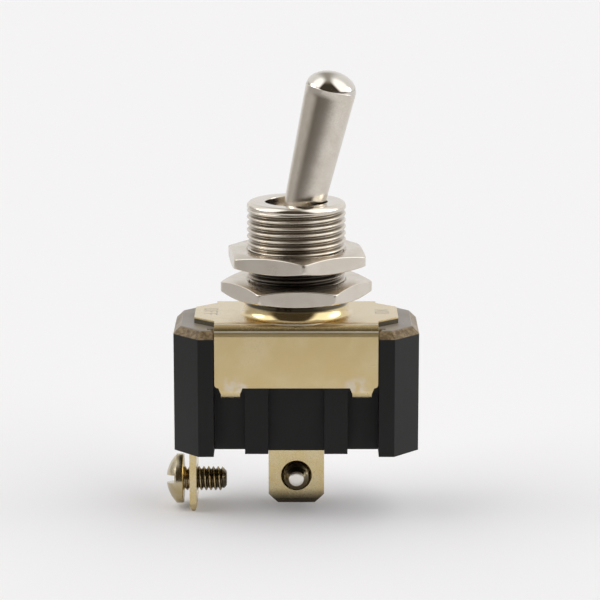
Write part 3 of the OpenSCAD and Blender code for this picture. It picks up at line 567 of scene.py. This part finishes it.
def threaded_bushing():
    """The bushing turned about Z. Its outside follows z down from the rim, and the radius is
    the thread's wave on the helix phase z / pitch - angle / 360, faded out at the rim and held
    under the nuts' bores; then the staked spigot, and inside, the skirt, the ball's seat and
    the mouth."""
    bottom = box_mm("bushing")[0][2]
    thread_end = box_mm("back_nut")[0][2] - 0.01
    back_top, face_bottom = nut_gap
    turns = np.arange(0, 360, 2.0)
    z_thread = np.arange(rim_z - rim_round, thread_end, -0.034)
    z, angle = z_thread[:, None], turns[None, :]
    wave = thread_wave(z / thread_pitch - angle / 360 + thread_start)
    full = smooth(rim_z - z, rim_round, rim_round + 0.35)
    r = thread_r - thread_depth * (1 - wave) * full
    in_face_nut = (z < 0.02) & (z > face_bottom - 0.02)
    in_back_nut = z < back_top + 0.02
    r = np.where(in_face_nut | in_back_nut, np.minimum(r, pitch_r - 0.05), r)
    rad = np.radians(angle)
    threads = np.stack([r * np.cos(rad), r * np.sin(rad), z + 0 * rad], -1)
    seat_r = ball_r + 0.06
    inside_top = math.sqrt(seat_r ** 2 - mouth_r ** 2)
    spigot = [(5.5, thread_end - 0.02), (5.5, bottom + 0.45), (5.93, bottom + 0.02),
              (5.9, bottom), (4.45, bottom), (seat_r - 0.02, pivot_z - 2.2)]
    seat = arc(0, pivot_z, seat_r, 0, math.degrees(math.asin(inside_top / seat_r)), 12)
    mouth = np.vstack([[(mouth_r, pivot_z + inside_top + 0.02)],
                       arc(mouth_r + 0.18, rim_z - 0.18, 0.18, 180, 90, 6)])
    rim = arc(thread_r - rim_round, rim_z - rim_round, rim_round, 90, 4, 12)
    top = turned(np.vstack([mouth, rim]), turns)
    inner = turned(refined(np.vstack([spigot, seat]), 0.8), turns)
    grid = np.concatenate([top, threads, inner], 0)
    return shell("threaded_bushing", grid, closed=True)


def nut(node, name):
    """A hexagon nut: at each angle the wall stands at half the width over cos of the angle
    from the flat's middle, and both faces fall away in a cone outside the face circle."""
    low, high = box_mm(node)
    z0, z1 = low[2], high[2]
    apothem = nut_across[node] / 2
    nut_face_r = apothem - nut_face_set
    corner = apothem / math.cos(math.pi / 6)
    turns = np.arange(0, 360, 2.0)
    from_flat = (turns + 30) % 60 - 30
    wall = apothem / np.cos(np.radians(from_flat))
    wall = np.minimum(wall, corner - 0.10 * smooth(np.abs(from_flat), 27.5, 30))
    drop = nut_drop * (wall - nut_face_r) / (corner - nut_face_r)
    a = np.radians(turns + nut_turn[node] + 30)

    def ring(r, z):
        return np.stack([r * np.cos(a), r * np.sin(a), z + 0 * a], -1)

    bore, sink = pitch_r, nut_sink
    rows = [ring(bore, z0 + sink), ring(bore + sink, z0), ring(nut_face_r, z0)]
    rows += [ring(nut_face_r + (wall - nut_face_r) * k, z0 + drop * k) for k in (0.5, 1.0)]
    rows += [ring(wall, z0 + drop + (z1 - z0 - 2 * drop) * k) for k in (0.33, 0.67, 1.0)]
    rows += [ring(nut_face_r + (wall - nut_face_r) * 0.5, z1 - drop * 0.5),
             ring(nut_face_r, z1), ring(bore + sink, z1), ring(bore, z1 - sink)]
    piece = shell(name, np.array(rows), closed=True)
    return soften(piece, 0.075, 2, 24)


def lever_handle():
    """The lever turned about its own axis, then tilted about the pivot: tail, ball, a small
    hollow fillet at the neck, a straight taper, and a flattened dome past a fine step."""
    fillet = 0.9
    neck_z = math.sqrt(ball_r ** 2 - (neck_r + 0.35) ** 2)
    start = lever_len - dome_h
    tail = [(1.3, -10.6), (1.75, -10.6), (1.9, -10.45), (1.9, -3.7)]
    ball = arc(0, 0, ball_r, -62.4, math.degrees(math.asin(neck_z / ball_r)), 26)
    neck = [(neck_r + 0.12, neck_z + 0.16), (neck_r + 0.02, neck_z + 0.42),
            (neck_r + 0.02, neck_z + fillet)]
    body = [(tip_r - 0.02, start - 0.05), (tip_r, start), (tip_r - 0.025, start + 0.035)]
    a = np.radians(np.linspace(2, 89.5, 26))
    dome = np.stack([(tip_r - 0.025) * np.cos(a), start + 0.03 + (dome_h - 0.03) * np.sin(a)], -1)
    taper = refined(np.array([neck[-1], *body]), 1.0)[1:]
    profile = np.vstack([refined(np.array(tail), 1.5), ball, neck, taper, dome])
    grid = turned(profile, np.arange(0, 360, 3.0))
    t = math.radians(lever_tilt)
    x, y, z = grid[..., 0], grid[..., 1], grid[..., 2]
    across = x * math.cos(t) + z * math.sin(t)
    height = z * math.cos(t) - x * math.sin(t) + pivot_z
    return shell("lever_handle", np.stack([across, y, height], -1))


def binding_screw(name, origin, axis, up, turn):
    """A binding-head screw: crown, edge and bearing face turned about its axis, and a thread
    whose radius follows the helix phase length / pitch - angle / 360, down to a cone with a
    flat end. The driver slot is cut across the crown."""
    crown = head_h - head_edge
    crown_r = (head_r ** 2 + crown ** 2) / (2 * crown)
    turns = np.arange(0, 360, 5.0)
    a = np.radians(np.linspace(0.6, math.degrees(math.asin(head_r / crown_r)) - 1.2, 12))
    dome = np.stack([crown_r * np.sin(a), -head_h + crown_r * (1 - np.cos(a))], -1)
    edge = [(head_r - 0.02, -head_edge - 0.06), (head_r, -head_edge + 0.05), (head_r, -0.12),
            (head_r - 0.1, -0.01), (head_r - 0.35, 0.0), (screw_r + 0.15, -0.2), (1.3, -0.2)]
    head = turned(np.vstack([dome, edge]), turns)
    s = np.arange(-0.15, screw_len - 0.04, 0.04)[:, None]
    wave = thread_wave(s / screw_pitch - turns[None, :] / 360)
    cone = point_r + (screw_r - point_r) * (screw_len - s) / point_h
    r = np.minimum(screw_r - 0.34 * (1 - wave) * smooth(s, -0.1, 0.3), cone)
    rad = np.radians(turns)[None, :]
    shank = np.stack([r * np.cos(rad), r * np.sin(rad), s + 0 * rad], -1)
    end = turned([(point_r - 0.06, screw_len), (0.4, screw_len)], turns)
    grid = np.concatenate([head, shank, end], 0)
    axis, up = np.array(axis, float), np.array(up, float)
    side = np.cross(up, axis)

    def place(p):
        return np.array(origin) + p[..., :1] * side + p[..., 1:2] * up + p[..., 2:] * axis

    piece = shell(name, place(grid))
    t = math.radians(turn)
    u, v, w = np.array([[u, v, w] for u in (-4, 4) for v in (-slot_w / 2, slot_w / 2)
                        for w in (-head_h - 1, -head_h + slot_d)], float).T
    spun = np.stack([u * math.cos(t) - v * math.sin(t), u * math.sin(t) + v * math.cos(t), w], -1)
    mesh = bpy.data.meshes.new(name + "_slot")
    mesh.from_pydata((place(spun) * mm).tolist(), [], [
        (0, 1, 3, 2), (4, 6, 7, 5), (0, 4, 5, 1), (2, 3, 7, 6), (0, 2, 6, 4), (1, 5, 7, 3)])
    cutter = finish_mesh(name + "_slot", mesh)
    cut = piece.modifiers.new("slot", "BOOLEAN")
    cut.operation, cut.solver, cut.object = "DIFFERENCE", "EXACT", cutter
    graph = bpy.context.evaluated_depsgraph_get()
    carved = bpy.data.meshes.new_from_object(piece.evaluated_get(graph))
    piece.modifiers.clear()
    piece.data = carved
    bpy.data.objects.remove(cutter)
    carved.set_sharp_from_angle(angle=math.radians(crisp))
    return soften(piece, 0.03, 2, 34)


# ---------------------------------------------------------------- making and riding

def clothe(piece, finish, body, slot, *nodes):
    """Gives a piece its finish, its body and the nodes it stands for; slot is not used."""
    piece.data.materials.clear()
    piece.data.materials.append(finish)
    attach(piece, body)
    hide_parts(*nodes)


clothe(threaded_bushing(), nickel, "switch_body", "nickel", "bushing")
clothe(nut("face_nut", "face_nut_dressed"), nut_finish, "face_nut", "nickel", "face_nut")
clothe(nut("back_nut", "back_nut_dressed"), nut_finish, "back_nut", "nickel", "back_nut")
clothe(lever_handle(), lever_finish, "lever", "lever_nickel", "lever")
clothe(dressed("cover_frame", "cover_frame_dressed", 0.06, 2, 40),
       zinc, "switch_body", "yellow_zinc", "cover_frame")
clothe(dressed("case", "case_dressed", 0.14, 3, 25),
       phenolic, "switch_body", "phenolic", "case")
clothe(dressed("centre_terminal", "centre_terminal_dressed", 0.05, 2, 35),
       terminal_finish, "switch_body", "terminal_brass", "centre_terminal")
clothe(dressed("end_terminal", "end_terminal_dressed", 0.05, 2, 35),
       terminal_finish, "switch_body", "terminal_brass", "end_terminal")

upward = (0, 0, 1)
centre_seat = (0, box_mm("centre_screw")[1][1] - head_h, centre_axis_z)
end_seat = (box_mm("end_screw")[0][0] + head_h, 0, end_axis_z)
clothe(binding_screw("centre_screw_dressed", centre_seat, (0, -1, 0), upward, slot_turn),
       screw_finish, "centre_screw", "screw_plating", "centre_screw")
clothe(binding_screw("end_screw_dressed", end_seat, (1, 0, 0), upward, slot_turn),
       screw_finish, "end_screw", "screw_plating", "end_screw")

inner_finish = {
    "liner": fibre, "pivot_pin": steel, "plunger": nylon, "plunger_spring": steel,
    "rocker": copper, "moving_contact": silver, "fulcrum_bracket": terminal_finish,
    "contact_rivet": silver,
}
for node_name, finish in inner_finish.items():
    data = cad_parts[node_name].data
    data.materials.clear()
    data.materials.append(finish)


# ---------------------------------------------------------------- stage, light and camera

def table_white(bench, where):
    """Plain white, which polished metal sees fall into the dark of the room in front and a
    little to the left, and which the camera sees lifted by a trace of backdrop light."""
    x, y, _ = parts_of(bench, where)
    around = bench.math("ARCTAN2", x, -y) * (180 / math.pi)
    reach = (x * x + y * y) ** 0.5
    ahead = (-y).step(70, 270)
    left = around.step(-30, -52) * around.step(-152, -108) * reach.step(60, 150)
    ray = bench.node("ShaderNodeLightPath")
    dark = (0.86 * ahead).most(0.48 * left) * ray["Is Glossy Ray"]
    tone = bench.mix(dark, (0.86, 0.862, 0.88), (0.06, 0.045, 0.028))
    lift = bench.mix(ray["Is Camera Ray"], (0.0, 0.0, 0.0), (0.09, 0.088, 0.092))
    return {"Base Color": tone, "Emission Color": lift}


def table():
    """A wide plain table top under the lowest terminal."""
    half, z = 4.0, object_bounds()[0][2]
    corners = [(-half, -half, z), (half, -half, z), (half, half, z), (-half, half, z)]
    mesh = bpy.data.meshes.new("table_top")
    mesh.from_pydata(corners, [], [(0, 1, 2, 3)])
    top = bpy.data.objects.new("table_top", mesh)
    bpy.context.scene.collection.objects.link(top)
    mesh.materials.append(material("table_white", table_white, Roughness=0.9,
                                   Specular_IOR_Level=0.0, Emission_Strength=1.0))


def studio():
    """The world, in degrees: over runs from the front horizon at 0 over the top to the back
    at 180, and side from the middle plane outward. Two broad soft panels reach from both sides
    over the object and dim past the top. Each has a brighter core far out, and the left core
    is the stronger. Between them is a gap, dark towards the viewer and lighter overhead, and
    behind is plain light. Low on the left is a dimmer patch. Light Path gives viewer rays the
    plain backdrop."""
    panel_light, low_light = 1.55, 0.5
    world = bpy.data.worlds.new("white_tent")
    bpy.context.scene.world = world
    world.use_nodes = True
    bench = Bench(world.node_tree)
    way = bench.node("ShaderNodeTexCoord")["Generated"]
    split = bench.node("ShaderNodeSeparateXYZ", {}, {"Vector": way})
    x, y, z = split["X"], split["Y"], split["Z"]
    over = bench.math("ARCTAN2", z, -y) * (180 / math.pi)
    side = bench.math("ARCSINE", x) * (180 / math.pi)
    around = bench.math("ARCTAN2", x, -y) * (180 / math.pi)
    above = bench.math("ARCSINE", z) * (180 / math.pi)
    behind = over.step(136, 160)
    gap = 0.06 + 0.36 * over.step(48, 92) + 0.42 * behind
    panel = panel_light - 0.65 * over.step(94, 122)
    right_edge = 11 + 35 * over.step(82, -8)
    left_edge = 13 + 44 * over.step(92, 8)
    right = (side - right_edge).step(-10, 10) * over.step(-4, 8)
    left = (-side - left_edge).step(-10, 10) * over.step(14, 30)
    tent = gap + (panel - gap) * right.most(left)
    core = (((abs(side) - 76) / 14) ** 2.0 + ((over - 108) / 66) ** 2.0).step(1.3, 0.6)
    tent = tent + core * (2.0 + 1.8 * (-side).step(-10, 10))
    low_left = around.step(-46, -70) * around.step(-150, -132) * above.step(20, 8)
    tent = tent * (1 - low_left) + low_light * low_left
    tint = bench.mix(tent.step(0.05, 0.7), (1.0, 0.84, 0.62), (1.0, 0.992, 0.98))
    light = bench.node("ShaderNodeBackground", {}, {"Color": tint, "Strength": tent})
    seen = bench.node(
        "ShaderNodeBackground", {}, {"Color": (0.873, 0.873, 0.888), "Strength": 1.0})
    ray = bench.node("ShaderNodeLightPath")["Is Camera Ray"]
    both = bench.node(
        "ShaderNodeMixShader", {}, {0: ray, 1: light["Background"], 2: seen["Background"]})
    bench.node("ShaderNodeOutputWorld", {}, {"Surface": both["Shader"]})


def viewer():
    """The camera in front of the switch and a little above it."""
    pitch = math.radians(view_pitch)
    aim = Vector(view_aim) * mm
    back = Vector((0, -math.cos(pitch), math.sin(pitch))) * view_far * mm
    data = bpy.data.cameras.new("viewer")
    data.sensor_width = 36
    data.lens = view_focal * data.sensor_width
    data.clip_start, data.clip_end = 0.01, 20
    camera = bpy.data.objects.new("viewer", data)
    camera.location = aim + back
    camera.rotation_euler = (math.pi / 2 - pitch, 0, 0)
    bpy.context.scene.collection.objects.link(camera)
    bpy.context.scene.camera = camera


table()
studio()
viewer()
bpy.context.scene.view_settings.view_transform = "Standard"
